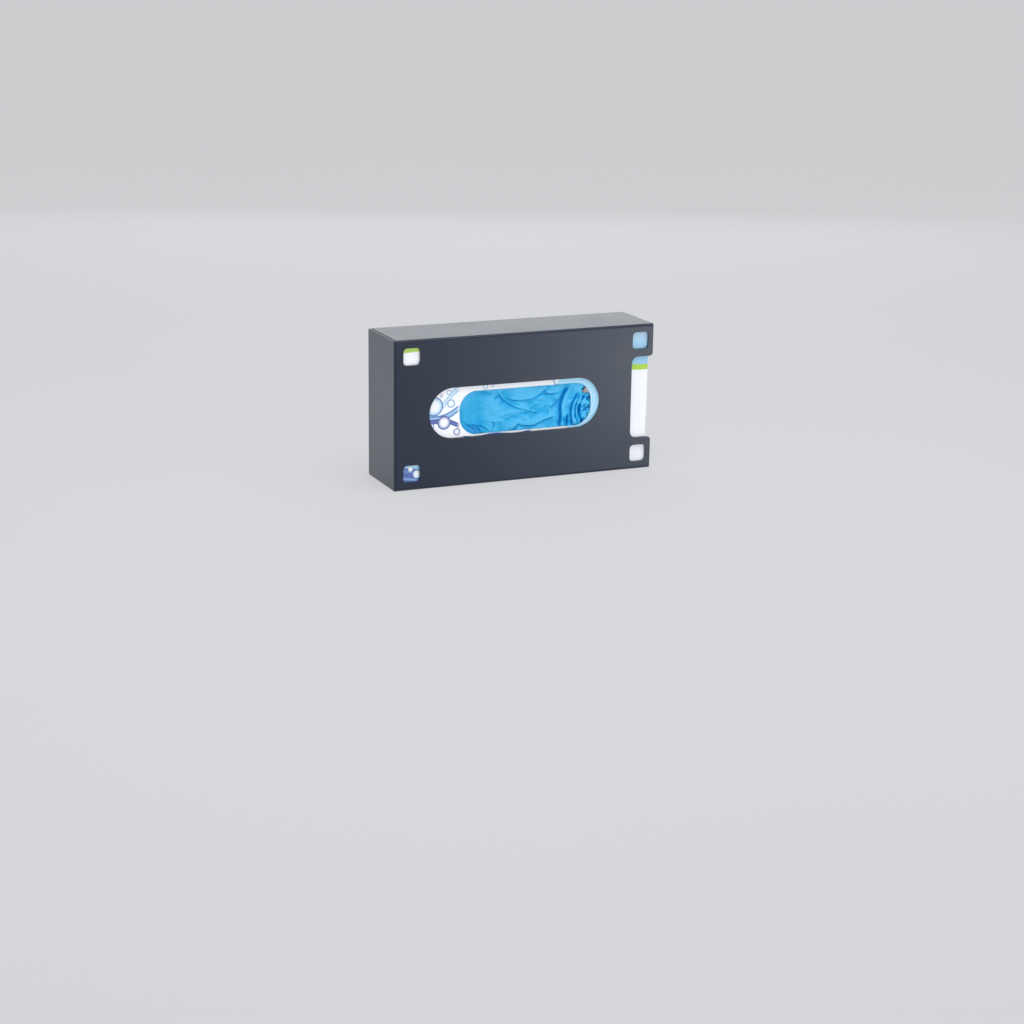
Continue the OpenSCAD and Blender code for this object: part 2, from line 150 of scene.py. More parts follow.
def make_active(piece):
    deselect_all()
    piece.select_set(True)
    bpy.context.view_layer.objects.active = piece


def apply_modifier(piece, kind, **settings):
    """Adds one modifier to the piece with these settings and applies it."""
    make_active(piece)
    modifier = piece.modifiers.new(kind.title(), kind)
    for name, value in settings.items():
        setattr(modifier, name, value)
    bpy.ops.object.modifier_apply(modifier=modifier.name)


def softened_copy(node, rounding, segments=2):
    """A merged copy of a CAD node whose sharp edges are rounded, which stands for the node."""
    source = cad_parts[node]
    piece = bpy.data.objects.new(node + "_finished", source.data.copy())
    piece.data.materials.clear()
    bpy.context.scene.collection.objects.link(piece)
    make_active(piece)
    bpy.ops.object.mode_set(mode="EDIT")
    bpy.ops.mesh.select_all(action="SELECT")
    bpy.ops.mesh.remove_doubles(threshold=0.002 * MM)
    bpy.ops.mesh.dissolve_limited(angle_limit=math.radians(0.4))
    bpy.ops.object.mode_set(mode="OBJECT")
    apply_modifier(piece, "BEVEL", width=rounding, segments=segments, limit_method="ANGLE",
                   angle_limit=math.radians(40), use_clamp_overlap=True)
    make_active(piece)
    bpy.ops.object.shade_smooth()
    apply_modifier(piece, "WEIGHTED_NORMAL", mode="FACE_AREA", weight=100, thresh=0.01)
    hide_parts(node)
    return piece


def finish_piece(piece, material):
    """Gives a piece its material, and lets it ride on the one body."""
    piece.data.materials.clear()
    piece.data.materials.append(material)
    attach(piece, BODY)
    deselect_all()


class NodeSheet:
    """Short forms for laying out one material's nodes."""

    def __init__(self, name):
        self.material = bpy.data.materials.new(name)
        self.material.use_nodes = True
        self.tree = self.material.node_tree
        self.shader = self.tree.nodes["Principled BSDF"]
        self.place = self.node("ShaderNodeTexCoord").outputs["Object"]
        self.split = self.node("ShaderNodeSeparateXYZ", [self.place])

    def node(self, kind, inputs=(), **settings):
        made = self.tree.nodes.new(kind)
        for name, value in settings.items():
            setattr(made, name, value)
        for socket, value in zip(made.inputs, inputs):
            self.feed(socket, value)
        return made

    def feed(self, socket, value):
        if value is None:
            return
        if isinstance(value, bpy.types.Node):
            value = value.outputs[0]
        if isinstance(value, bpy.types.NodeSocket):
            self.tree.links.new(value, socket)
        else:
            socket.default_value = value

    def math(self, operation, *inputs):
        return self.node("ShaderNodeMath", inputs, operation=operation)

    def noise(self, scale, detail=2.0, roughness=0.5, distortion=0.0, place=None):
        made = self.node("ShaderNodeTexNoise", [place or self.place])
        made.inputs["Scale"].default_value = scale
        made.inputs["Detail"].default_value = detail
        made.inputs["Roughness"].default_value = roughness
        made.inputs["Distortion"].default_value = distortion
        return made

    def ramp(self, value, low, high, out_low=0.0, out_high=1.0):
        """Runs smoothly from out_low at low to out_high at high."""
        made = self.node("ShaderNodeMapRange", [value, low, high, out_low, out_high])
        made.interpolation_type = "SMOOTHSTEP"
        return made

    def blend(self, factor, first, second):
        """Mixes two colours."""
        made = self.node("ShaderNodeMix", data_type="RGBA")
        self.feed(made.inputs["Factor"], factor)
        self.feed(made.inputs["A"], first)
        self.feed(made.inputs["B"], second)
        return made.outputs["Result"]

    def scaled_place(self, x, y, z):
        made = self.node("ShaderNodeMapping", [self.place])
        made.inputs["Scale"].default_value = (x, y, z)
        return made.outputs[0]

    def bump(self, height, distance, strength=1.0, normal=None):
        made = self.node("ShaderNodeBump")
        made.inputs["Strength"].default_value = strength
        made.inputs["Distance"].default_value = distance
        self.feed(made.inputs["Height"], height)
        self.feed(made.inputs["Normal"], normal)
        return made.outputs[0]


def opaque(colour):
    return (*colour, 1)


def powder_coat(look):
    """Satin anthracite powder coat: fine orange peel, faint grains and slightly uneven gloss."""
    sheet = NodeSheet("anthracite powder coat")
    grain = sheet.noise(2600, detail=2)
    cloud = sheet.noise(22, detail=3)
    dark = [c * 0.86 for c in look.coat_colour]
    pale = [c * 1.16 for c in look.coat_colour]
    tone = sheet.math("ADD", sheet.math("MULTIPLY", grain, 0.8), sheet.math("MULTIPLY", cloud, 0.2))
    sheet.feed(sheet.shader.inputs["Base Color"],
               sheet.blend(sheet.ramp(tone, 0.36, 0.64), opaque(dark), opaque(pale)))
    sheet.feed(sheet.shader.inputs["Roughness"],
               sheet.ramp(cloud, 0.3, 0.7, look.coat_roughness - 0.01, look.coat_roughness + 0.01))
    sheet.shader.inputs["Specular IOR Level"].default_value = look.coat_specular
    peel = sheet.bump(sheet.noise(1150, detail=1.5), 0.035 * MM, 0.55)
    sheet.feed(sheet.shader.inputs["Normal"], sheet.bump(grain, 0.006 * MM, 0.5, peel))
    return sheet.material


def rivet_metal():
    """Plain set aluminium rivets, lightly brushed by the tool that set them."""
    sheet = NodeSheet("set rivet metal")
    scuff = sheet.noise(900, detail=4, roughness=0.7)
    sheet.feed(sheet.shader.inputs["Base Color"],
               sheet.blend(scuff, (0.55, 0.55, 0.57, 1), (0.78, 0.78, 0.8, 1)))
    sheet.shader.inputs["Metallic"].default_value = 1.0
    sheet.feed(sheet.shader.inputs["Roughness"], sheet.ramp(scuff, 0.3, 0.7, 0.28, 0.46))
    sheet.feed(sheet.shader.inputs["Normal"], sheet.bump(scuff, 0.02 * MM, 0.5))
    return sheet.material


class PrintSheet(NodeSheet):
    """The carton's card, on which the print is laid colour by colour.

    Places and sizes are in millimetres."""

    def __init__(self, name, look):
        super().__init__(name)
        self.x_mm = self.math("DIVIDE", self.split.outputs["X"], MM)
        self.z_mm = self.math("DIVIDE", self.split.outputs["Z"], MM)
        self.white, self.royal = opaque(look.card_white), opaque(look.card_royal)
        self.sky, self.lime = opaque(look.card_sky), opaque(look.card_lime)
        self.deep = opaque(look.card_deep)
        self.frost = opaque([(tint + 1) / 2.2 for tint in look.card_sky])
        self.colour = self.white

    def lay(self, share, tint):
        """Covers this share of what has been laid so far with another colour."""
        self.colour = self.blend(share, self.colour, tint)

    def disc(self, x, z, radius, along=None):
        """1 inside a disc on the carton's front, 0 outside, and the distance from its middle.

        Another coordinate than X may run along the disc's face."""
        edge = 0.15
        across = self.math("SUBTRACT", along or self.x_mm, x)
        up = self.math("SUBTRACT", self.z_mm, z)
        reach = self.math("SQRT", self.math("ADD", self.math("MULTIPLY", across, across),
                                            self.math("MULTIPLY", up, up)))
        return self.ramp(reach, radius + edge, radius - edge), reach

    def bubble(self, x, z, radius, rim, fill, along=None, where=1.0):
        """Lays on a shaded disc with a darker rim and a white glint."""
        inside, reach = self.disc(x, z, radius, along)
        body = self.blend(self.ramp(reach, radius * 0.35, radius), self.white, fill)
        body = self.blend(self.ramp(reach, radius * 0.8, radius * 0.95), body, rim)
        glint, _ = self.disc(x - radius * 0.3, z + radius * 0.35, radius * 0.16, along)
        body = self.blend(glint, body, self.white)
        self.lay(self.math("MULTIPLY", inside, where), body)

    def wave_line(self, level, slope, height, length, phase):
        """Height over a wavy line that runs across the carton."""
        swing = self.math("SINE", self.math("ADD", self.math("DIVIDE", self.x_mm, length), phase))
        line = self.math("ADD", self.math("MULTIPLY", swing, height),
                         self.math("ADD", self.math("MULTIPLY", self.x_mm, slope), level))
        return self.math("SUBTRACT", self.z_mm, line)

    def waves(self):
        """Waves along the top and along the bottom, where they run out towards the right."""
        # A lime line under a sky blue field that pales upwards.
        over = self.wave_line(46.5, -0.125, 3.5, 19, -0.65)
        pale_sky = self.blend(self.ramp(over, 10, 62), self.sky, self.white)
        self.lay(self.ramp(over, -5.1, -4.9), self.lime)
        self.lay(self.ramp(over, -0.1, 0.1), pale_sky)

        # A sky blue rim over royal blue, with deeper and paler streaks in it.
        under = self.wave_line(-62.5, -0.1, 4, 23, 0.3)
        self.lay(self.ramp(under, 4.1, 3.9), self.sky)
        self.lay(self.ramp(under, 1.1, 0.9), self.royal)
        streak = self.math("SINE", self.math("MULTIPLY", under, 0.9))
        for low, high, strength, tint in ((0.2, 0.9, 0.6, self.deep), (-0.4, -1, 0.5, self.sky)):
            shade = self.math("MULTIPLY", self.ramp(under, -1, -3), self.ramp(streak, low, high))
            self.lay(self.math("MULTIPLY", shade, strength), tint)

    def ribbons(self):
        """Ribbons that sweep past the mouth's left end, each from deep to pale across its width."""
        beside = self.ramp(self.x_mm, -61, -65)
        for level, slope, height, length, phase, width, edge_tint, heart in (
                (64, 0.72, 2.2, 5.5, 0.6, 7.0, self.sky, self.frost),
                (22, 0.31, 2.6, 7.5, 2.2, 6.4, self.royal, self.sky),
                (-26, -0.22, 1.8, 6.5, 0.4, 4.4, self.deep, self.royal)):
            gap = self.math("ABSOLUTE", self.wave_line(level, slope, height, length, phase))
            strand = self.math("SINE", self.math("MULTIPLY", gap, 2.6))
            body = self.blend(self.ramp(strand, -0.7, 0.7), edge_tint, heart)
            covered = self.ramp(gap, width / 2 + 0.15, width / 2 - 0.15)
            self.lay(self.math("MULTIPLY", beside, covered), body)

    def bubbles(self):
        """Bubbles beside the mouth, then on the carton's two ends, where they run along Y."""
        royal, sky, deep = self.royal, self.sky, self.deep
        for place in ((-86, 6, 8.5, royal, sky), (-76.5, -9, 6.2, deep, royal),
                      (-70, 7.5, 3.6, royal, sky), (-89, -12, 3.4, royal, sky),
                      (-64.5, -18, 3.2, deep, royal), (-72, 17.5, 2.2, royal, sky),
                      (-38, 20, 2.4, royal, sky), (-31, 20.5, 1.3, deep, royal),
                      (31, 20.5, 4.4, royal, sky), (-79, 15, 1.4, deep, royal),
                      (-101.5, -52.5, 3.6, sky, self.frost),
                      (-107.5, -47.5, 2.3, self.lime, self.frost)):
            self.bubble(*place)

        y_mm = self.math("DIVIDE", self.split.outputs["Y"], MM)
        face = CARTON_HIGH.x / MM
        end = self.ramp(self.math("ABSOLUTE", self.x_mm), face - 0.9, face - 0.8)
        for place in ((-46, -36, 9, royal, sky), (-29, -44, 4.5, deep, royal),
                      (-34, -27, 2.6, royal, sky), (-22, -37, 1.7, deep, royal),
                      (-52, -50, 3.2, royal, sky), (-16, -48, 2.4, royal, sky)):
            self.bubble(*place, y_mm, end)

    def ringed_disc(self):
        """A large pale disc behind the mouth's right end, and a dark ripple under the mouth."""
        inside, reach = self.disc(52, 2, 27)
        rings = self.math("SINE", self.math("MULTIPLY", reach, 1.9))
        pale_blue = (0.3, 0.68, 0.93, 1)
        self.lay(inside, self.blend(self.ramp(rings, -0.8, 0.9, 0.72, 1.0), self.white, pale_blue))
        ripple = self.wave_line(-22.4, 0, 0.8, 6, 0)
        span = self.math("MULTIPLY", self.ramp(self.x_mm, -60, -57), self.ramp(self.x_mm, 8, 3))
        self.lay(self.math("MULTIPLY", span, self.ramp(ripple, 0.1, -0.1)), self.royal)

    def bare_parts(self):
        """White fibres on the mouth's cut and torn edges, and bare grey card inside the carton.

        Gives the share that is bare."""
        white_fibre, grey_card = (0.86, 0.85, 0.83, 1), (0.42, 0.39, 0.38, 1)
        depth = self.math("SUBTRACT", self.split.outputs["Y"], CARTON_LOW.y)
        near = self.math("MULTIPLY", self.ramp(self.math("ABSOLUTE", self.x_mm), 72, 71),
                         self.ramp(self.math("ABSOLUTE", self.z_mm), 25, 24))
        cut = self.math("MULTIPLY", near, self.ramp(depth, 0.05 * MM, 0.12 * MM))
        self.lay(cut, white_fibre)
        inner = self.ramp(depth, CARD_T * 0.93, CARD_T * 0.99)
        within = self.math("MULTIPLY", inner, self.inside_box())
        self.lay(within, grey_card)
        return self.math("MAXIMUM", cut, within)

    def inside_box(self):
        """1 on the carton's inner faces, 0 on its outer ones."""
        half_w = (CARTON_HIGH.x - CARTON_LOW.x) / 2 - 2.1 * CARD_T
        half_h = (CARTON_HIGH.z - CARTON_LOW.z) / 2 - 0.9 * CARD_T
        mid_x = (CARTON_HIGH.x + CARTON_LOW.x) / 2
        mid_z = (CARTON_HIGH.z + CARTON_LOW.z) / 2
        far_x = self.math("ABSOLUTE", self.math("SUBTRACT", self.split.outputs["X"], mid_x))
        far_z = self.math("ABSOLUTE", self.math("SUBTRACT", self.split.outputs["Z"], mid_z))
        far_y = self.math("SUBTRACT", CARTON_HIGH.y - 0.9 * CARD_T, self.split.outputs["Y"])
        room = self.math("MINIMUM", self.math("SUBTRACT", half_w, far_x),
                         self.math("MINIMUM", self.math("SUBTRACT", half_h, far_z), far_y))
        return self.ramp(room, 0, 0.02 * MM)


def printed_card(look):
    """White coated card with plain waves and bubbles, and bare card where it is cut."""
    sheet = PrintSheet("printed carton card", look)
    sheet.waves()
    sheet.ribbons()
    sheet.bubbles()
    sheet.ringed_disc()
    bare = sheet.bare_parts()
    fibre = sheet.noise(1400, detail=4, roughness=0.65)
    sheet.lay(sheet.ramp(fibre, 0.3, 0.7, 0.0, 0.05), (0.7, 0.7, 0.68, 1))
    sheet.feed(sheet.shader.inputs["Base Color"], sheet.colour)
    sheet.feed(sheet.shader.inputs["Roughness"], sheet.ramp(bare, 0, 1, 0.34, 0.85))
    uneven = sheet.noise(60, detail=2)
    grain = sheet.bump(fibre, 0.01 * MM, 0.4)
    sheet.feed(sheet.shader.inputs["Normal"], sheet.bump(uneven, 0.25 * MM, 0.25, grain))
    return sheet.material


def bare_card():
    """Grey recycled card as it shows inside a torn edge: flecked, fibrous and matt."""
    sheet = NodeSheet("bare torn card")
    fibre = sheet.noise(1100, detail=4, roughness=0.7, place=sheet.scaled_place(1, 1, 0.4))
    fleck = sheet.ramp(sheet.noise(2300, detail=1), 0.62, 0.72)
    colour = sheet.blend(sheet.ramp(fibre, 0.3, 0.7), (0.36, 0.32, 0.33, 1), (0.55, 0.5, 0.5, 1))
    sheet.feed(sheet.shader.inputs["Base Color"],
               sheet.blend(sheet.math("MULTIPLY", fleck, 0.4), colour, (0.2, 0.19, 0.2, 1)))
    sheet.feed(sheet.shader.inputs["Roughness"], sheet.ramp(fibre, 0.3, 0.7, 0.8, 0.92))
    sheet.feed(sheet.shader.inputs["Normal"], sheet.bump(fibre, 0.05 * MM, 0.6))
    return sheet.material


def glove_film(look, name="nitrile film", use_folds=True):
    """Sky blue nitrile: painted highlight on ridges, painted shade in folds, fine pebbles, soft
    sheen.
    """
    sheet = NodeSheet(name)
    pale, middle, deep = (opaque(c) for c in (look.film_pale, look.film_middle, look.film_deep))
    cloud = sheet.noise(60, detail=3, distortion=0.6)
    if use_folds:
        # Colour by fold height: valleys deep, partly doubled film and partly painted shade;
        # ridges pale, which is a painted highlight.
        height = sheet.node("ShaderNodeAttribute", attribute_name="fold_height").outputs["Fac"]
        colour = sheet.blend(sheet.ramp(height, -1.4, 0.1), deep, middle)
        ridge = sheet.math("ADD", sheet.ramp(height, -0.35, 0.8, 0.0, 0.85),
                           sheet.ramp(cloud, 0.35, 0.7, 0, 0.15))
        colour = sheet.blend(ridge, colour, pale)
    else:
        colour = sheet.blend(sheet.ramp(cloud, 0.3, 0.7), deep, middle)
    sheet.feed(sheet.shader.inputs["Base Color"], colour)
    sheet.feed(sheet.shader.inputs["Roughness"], sheet.ramp(cloud, 0.3, 0.7, 0.4, 0.52))
    sheet.shader.inputs["Specular IOR Level"].default_value = 0.27
    sheet.shader.inputs["Subsurface Weight"].default_value = 0.6
    sheet.shader.inputs["Subsurface Radius"].default_value = (0.25, 0.7, 1)
    sheet.shader.inputs["Subsurface Scale"].default_value = look.film_spread
    wrinkle = sheet.noise(420, detail=3, roughness=0.55, distortion=1.2,
                          place=sheet.scaled_place(0.5, 1, 1))
    pebble = sheet.noise(3200, detail=2)
    soft = sheet.bump(wrinkle, 0.16 * MM, 0.4)
    sheet.feed(sheet.shader.inputs["Normal"], sheet.bump(pebble, 0.012 * MM, 0.4, soft))
    return sheet.material


def smooth_line(points, step=0.5):
    """Points along a smooth curve through the given ones, about one step apart."""
    points = np.array(points, float)
    padded = np.vstack([2 * points[0] - points[1], points, 2 * points[-1] - points[-2]])
    line = []
    for i in range(1, len(padded) - 2):
        p0, p1, p2, p3 = padded[i - 1:i + 3]
        count = max(2, int(np.linalg.norm(p2 - p1) / step))
        for t in np.arange(count)[:, None] / count:
            line.append(0.5 * (2 * p1 + (p2 - p0) * t + (2 * p0 - 5 * p1 + 4 * p2 - p3) * t ** 2
                               + (3 * p1 - p0 - 3 * p2 + p3) * t ** 3)[None, :])
    return np.vstack([np.vstack(line), points[-1:]])


def side_distance(place, line):
    """Signed distance of each place from a line, positive on its left, and the way to that side.

    The last value fades from 1 to 0 past the line's ends."""
    start, run = line[:-1], np.diff(line, axis=0)
    length = np.linalg.norm(run, axis=1)
    least = np.full(len(place), 1e9)
    sign = np.ones(len(place))
    away = np.zeros((len(place), 2))
    along = np.zeros(len(place))
    travelled = np.concatenate([[0], np.cumsum(length)])
    for i in range(len(run)):
        offset = place - start[i]
        share = np.clip(offset @ run[i] / length[i] ** 2, 0, 1)
        gap = offset - share[:, None] * run[i]
        far = np.linalg.norm(gap, axis=1)
        closer = far < least - 1e-9
        left = np.array([-run[i][1], run[i][0]]) / length[i]
        least[closer] = far[closer]
        sign[closer] = np.where((gap @ left)[closer] < 0, -1, 1)
        away[closer] = left
        along[closer] = travelled[i] + share[closer] * length[i]
    total = travelled[-1]
    taper = np.clip(np.minimum(along, total - along) / min(4.0, 0.3 * total) + 0.15, 0, 1)
    return sign * least, away, taper


def value_noise(place, size, seed):
    """Smooth noise from -1 to 1 over a plane, with features of about this size."""
    dice = np.random.default_rng(seed)
    table = dice.uniform(-1, 1, (64, 64))
    grid = place / size + 17.3
    cell = np.floor(grid).astype(int)
    t = grid - cell
    t = t * t * (3 - 2 * t)
    x0, y0 = cell[:, 0] % 64, cell[:, 1] % 64
    x1, y1 = (x0 + 1) % 64, (y0 + 1) % 64
    low = table[x0, y0] * (1 - t[:, 0]) + table[x1, y0] * t[:, 0]
    high = table[x0, y1] * (1 - t[:, 0]) + table[x1, y1] * t[:, 0]
    return low * (1 - t[:, 1]) + high * t[:, 1]


def cuff_share(place):
    """0 on the palm, rising to 1 in the gathered cuff, whose upper side stays smooth."""
    share = np.clip((place[:, 0] - 49.5) / 5.5, 0, 1) * np.clip((9.5 - place[:, 1]) / 4, 0.12, 1)
    return share * share * (3 - 2 * share)


def folded_height(place):
    """Height of the film over its level, how far the lips lean sideways, and the doubling and
    shade.

    All are in millimetres. The doubling and shade deepens the film's colour: partly the hidden
    layers of folds and cuff, partly painted shade beside each valley and at the left end."""
    height = np.zeros(len(place))
    doubling_and_shade = np.zeros(len(place))
    lean = np.zeros((len(place), 2))
    warp = np.stack([value_noise(place, 9, 1), value_noise(place, 9, 2)], 1)
    bent = place + 0.5 * warp
    for points, depth, half, lip, tip in FOLDS:
        gap, away, taper = side_distance(bent, smooth_line(points))
        width = np.where(gap > 0, 0.8, 1.7) * half
        valley = 0.55 * np.exp(-(gap / width) ** 2) + 0.45 * np.exp(-np.abs(gap) / width)
        ridge = np.exp(-((gap - 1.7 * half) / (1.5 * half)) ** 2)
        height += taper * (lip * ridge - depth * valley)
        # Colour deepened beside each valley: the fold's hidden layers and painted shade.
        fade = np.where(gap > 0, 1.6, 3.2)
        doubling_and_shade += taper * min(depth, 1.6) * 0.6 * np.exp(-np.abs(gap) / fade)
        lean -= (taper * tip * np.exp(-((gap - 1.2 * half) / half) ** 2))[:, None] * away
    for x, z, length, width, turn, rise in TUCKS:
        angle = math.radians(turn)
        offset = bent - (x, z)
        along = offset @ (math.cos(angle), math.sin(angle))
        across = offset @ (-math.sin(angle), math.cos(angle))
        height += rise * np.exp(-(along / length) ** 2 - (across / width) ** 2)
    cuff = cuff_share(place)
    spread = bent - CUFF_MIDDLE
    reach, turn = np.hypot(*spread.T), np.arctan2(spread[:, 1], -spread[:, 0])
    arcs = 1 - 2 * np.abs(value_noise(np.stack([reach / 2.3, 1.6 * turn], 1) + 0.15 * warp, 1.0, 3))
    pleats = 1 - 2 * np.abs(value_noise(np.stack([reach / 5, 7.5 * turn], 1) + 0.2 * warp, 1.0, 8))
    height += cuff * (0.6 * arcs + 1.1 * cuff * pleats + 0.35 * value_noise(bent, 1.5, 4))
    palm = (1 - 0.8 * cuff) * np.clip((place[:, 0] + 58) / 30, 0.1, 1)
    for turn, across, size, rise, seed in DRAPES:
        c, s = math.cos(math.radians(turn)), math.sin(math.radians(turn))
        turned = bent @ np.array([[c, -s], [s, c]])
        drape = 1 - 1.6 * np.abs(value_noise(turned * (across, 1) + 2.5 * warp, size, seed))
        height += rise * drape * palm
    height += (0.55 * value_noise(bent, 14, 6)
               + 0.4 * (1 - palm) * value_noise(bent * (1, 0.3), 7, 13))
    height += 0.05 * value_noise(bent + 2 * warp, 1.1, 7)
    # Cuff deepened for its gathered layers, random paler and deeper patches,
    # the left end painted darker as painted shade, and the left of the palm paler.
    doubling_and_shade += 0.9 * cuff - 0.35 * value_noise(bent, 10, 12)
    doubling_and_shade += 0.45 * np.exp(-((place[:, 0] + 63) / 7) ** 2) - 0.25 * (1 - palm) * (1 - cuff)
    return height, lean, doubling_and_shade


def glove_outline(s):
    """Half height of the glove's outline at s half widths of the mouth: the cuff is drawn in."""
    return MOUTH_H / 2 * (1.25 + 1.05 * np.sqrt(np.maximum(0, 1 - ((s + 0.1) / 1.15) ** 2)))


def closed_sheet(name, columns, rows):
    """A grid whose rim is drawn back by one and closed behind."""
    deselect_all()
    bpy.ops.mesh.primitive_grid_add(x_subdivisions=columns, y_subdivisions=rows, size=1)
    piece = bpy.context.active_object
    piece.name = name
    bpy.ops.object.mode_set(mode="EDIT")
    bpy.ops.mesh.select_all(action="SELECT")
    bpy.ops.mesh.region_to_loop()
    bpy.ops.mesh.extrude_edges_move(TRANSFORM_OT_translate={"value": (0, 0, -1)})
    bpy.ops.mesh.edge_face_add()
    bpy.ops.object.mode_set(mode="OBJECT")
    return piece


def set_places(piece, places):
    piece.data.vertices.foreach_set("co", np.asarray(places, np.float32).ravel())
    piece.data.update()


def get_places(piece):
    places = np.empty(len(piece.data.vertices) * 3, np.float32)
    piece.data.vertices.foreach_get("co", places)
    return places.reshape(-1, 3).astype(float)


def store_fold_height(piece, height):
    """Keeps the height of each point, which sets the film's painted shade and highlight there."""
    attribute = piece.data.attributes.new("fold_height", "FLOAT", "POINT")
    attribute.data.foreach_set("value", height.astype(np.float32))


def point_outwards(piece):
    make_active(piece)
    bpy.ops.object.mode_set(mode="EDIT")
    bpy.ops.mesh.select_all(action="SELECT")
    bpy.ops.mesh.normals_make_consistent(inside=False)
    bpy.ops.object.mode_set(mode="OBJECT")


class CoatLook(bpy.types.PropertyGroup):
    coat_colour: bpy.props.FloatVectorProperty(
        name="Coat colour", description="Colour of the powder coat", subtype="COLOR",
        size=3, min=0, max=1, default=(0.012, 0.0215, 0.041))
    coat_roughness: bpy.props.FloatProperty(
        name="Coat roughness", description="Roughness of the powder coat",
        min=0.1, max=1, default=0.38)
    coat_specular: bpy.props.FloatProperty(
        name="Coat shine", description="Specular level of the powder coat",
        min=0, max=1, default=0.36)
    edge_rounding: bpy.props.FloatProperty(
        name="Edge rounding", description="Radius that the coat gives the cut edges",
        subtype="DISTANCE", unit="LENGTH", min=0.0001, max=0.0006, default=0.35 * MM)


class CardLook(bpy.types.PropertyGroup):
    card_white: bpy.props.FloatVectorProperty(
        name="White", description="Unprinted coated card", subtype="COLOR", size=3, min=0, max=1,
        default=(0.87, 0.88, 0.91))
    card_royal: bpy.props.FloatVectorProperty(
        name="Royal blue", description="Darker print colour", subtype="COLOR", size=3, min=0, max=1,
        default=(0.045, 0.1, 0.42))
    card_deep: bpy.props.FloatVectorProperty(
        name="Deep blue", description="Darkest print colour", subtype="COLOR", size=3, min=0, max=1,
        default=(0.025, 0.045, 0.25))
    card_sky: bpy.props.FloatVectorProperty(
        name="Sky blue", description="Paler print colour", subtype="COLOR", size=3, min=0, max=1,
        default=(0.3, 0.58, 0.8))
    card_lime: bpy.props.FloatVectorProperty(
        name="Lime", description="Accent print colour", subtype="COLOR", size=3, min=0, max=1,
        default=(0.4, 0.62, 0.05))


class FilmLook(bpy.types.PropertyGroup):
    # Ridge colour is a painted highlight; fold colour is the doubled film and painted shade.
    film_pale: bpy.props.FloatVectorProperty(
        name="Ridges", description="Film where it is stretched over a ridge", subtype="COLOR",
        size=3, min=0, max=1, default=(0.085, 0.52, 0.85))
    film_middle: bpy.props.FloatVectorProperty(
        name="Film", description="Colour of the film", subtype="COLOR", size=3, min=0, max=1,
        default=(0.005, 0.41, 0.75))
    film_deep: bpy.props.FloatVectorProperty(
        name="Folds", description="Film where it is doubled in a fold", subtype="COLOR", size=3,
        min=0, max=1, default=(0.0, 0.28, 0.66))
    film_spread: bpy.props.FloatProperty(
        name="Spread", description="How far light spreads inside the film", unit="LENGTH",
        min=0, max=0.01, default=0.0014)


class StudioLook(bpy.types.PropertyGroup):
    floor_colour: bpy.props.FloatVectorProperty(
        name="Floor", description="Colour of the floor", subtype="COLOR", size=3, min=0, max=1,
        default=(0.7, 0.7, 0.72))
    floor_share: bpy.props.FloatProperty(
        name="Floor evenness", description="Share of the floor that shows its own even colour",
        min=0, max=1, default=0.72)
    floor_glow: bpy.props.FloatProperty(
        name="Floor level", description="Level of the floor's even colour",
        min=0, max=1, default=0.93)
    world_level: bpy.props.FloatProperty(
        name="World", description="Strength of the even light from all round",
        min=0, max=2, default=0.69)
    window_power: bpy.props.FloatProperty(
        name="Side window", description="Power of the soft light at the front right",
        subtype="POWER", min=0, max=50, default=1.28)
    back_power: bpy.props.FloatProperty(
        name="Back panels",
        description="Power of the soft lights behind that the top and the side mirror",
        subtype="POWER", min=0, max=50, default=4.65)
    ceiling_power: bpy.props.FloatProperty(
        name="Ceiling", description="Power of the soft light overhead", subtype="POWER",
        min=0, max=100, default=10.8)
    fill_power: bpy.props.FloatProperty(
        name="Card fill", description="Power of the soft light that only reaches the carton",
        subtype="POWER", min=0, max=50, default=3.8)
    lens: bpy.props.FloatProperty(
        name="Lens", description="Focal length in millimetres", min=20, max=200, default=76.08)


class GLOVE_OT_steel_holder(bpy.types.Operator):
    """Finishes the folded shell, the hook plate and the rivets"""

    bl_idname = "glove.steel_holder"
    bl_label = "Steel Holder"

    def execute(self, context):
        look = context.scene.glove_coat
        coat = powder_coat(look)
        for node in ("holder_shell", "hook_plate"):
            finish_piece(softened_copy(node, look.edge_rounding), coat)
        finish_piece(softened_copy("rivets", rounding=0.15 * MM), rivet_metal())
        return {"FINISHED"}


class GLOVE_OT_carton(bpy.types.Operator):
    """Finishes the printed carton"""

    bl_idname = "glove.carton"
    bl_label = "Carton"

    def execute(self, context):
        piece = softened_copy("carton", rounding=0.08 * MM, segments=1)
        finish_piece(piece, printed_card(context.scene.glove_card))
        self.torn_tab()
        return {"FINISHED"}

    def torn_tab(self):
        """The stub of card that was left when the mouth was torn out, curled inwards."""
        deselect_all()
        bpy.ops.mesh.primitive_grid_add(x_subdivisions=16, y_subdivisions=10, size=1)
        piece = bpy.context.active_object
        piece.name = "torn_tab"
        unit = get_places(piece)
        u, inward = unit[:, 0], unit[:, 1] + 0.5
        middle, span, length, overlap = math.radians(35), 0.36, 4.4 * MM, 0.3 * MM
        ragged = 1 + 0.16 * np.sin(14 * u) + 0.1 * np.sin(31 * u + 1)
        turn = middle + u * (span - 0.1 * inward)
        reach = MOUTH_R + overlap - length * inward * ragged
        x = MOUTH_X + MOUTH_W / 2 - MOUTH_R + reach * np.cos(turn)
        z = MOUTH_Z + MOUTH_H / 2 - MOUTH_R + reach * np.sin(turn)
        curl = 0.15 + 2.3 * inward ** 1.6 + 0.25 * np.sin(9 * u) * inward
        y = CARTON_LOW.y + CARD_T + curl * MM
        set_places(piece, np.stack([x, y, z], 1))
        apply_modifier(piece, "SOLIDIFY", thickness=CARD_T * 0.8, offset=0)
        point_outwards(piece)
        bpy.ops.object.shade_smooth_by_angle(angle=math.radians(40))
        finish_piece(piece, bare_card())


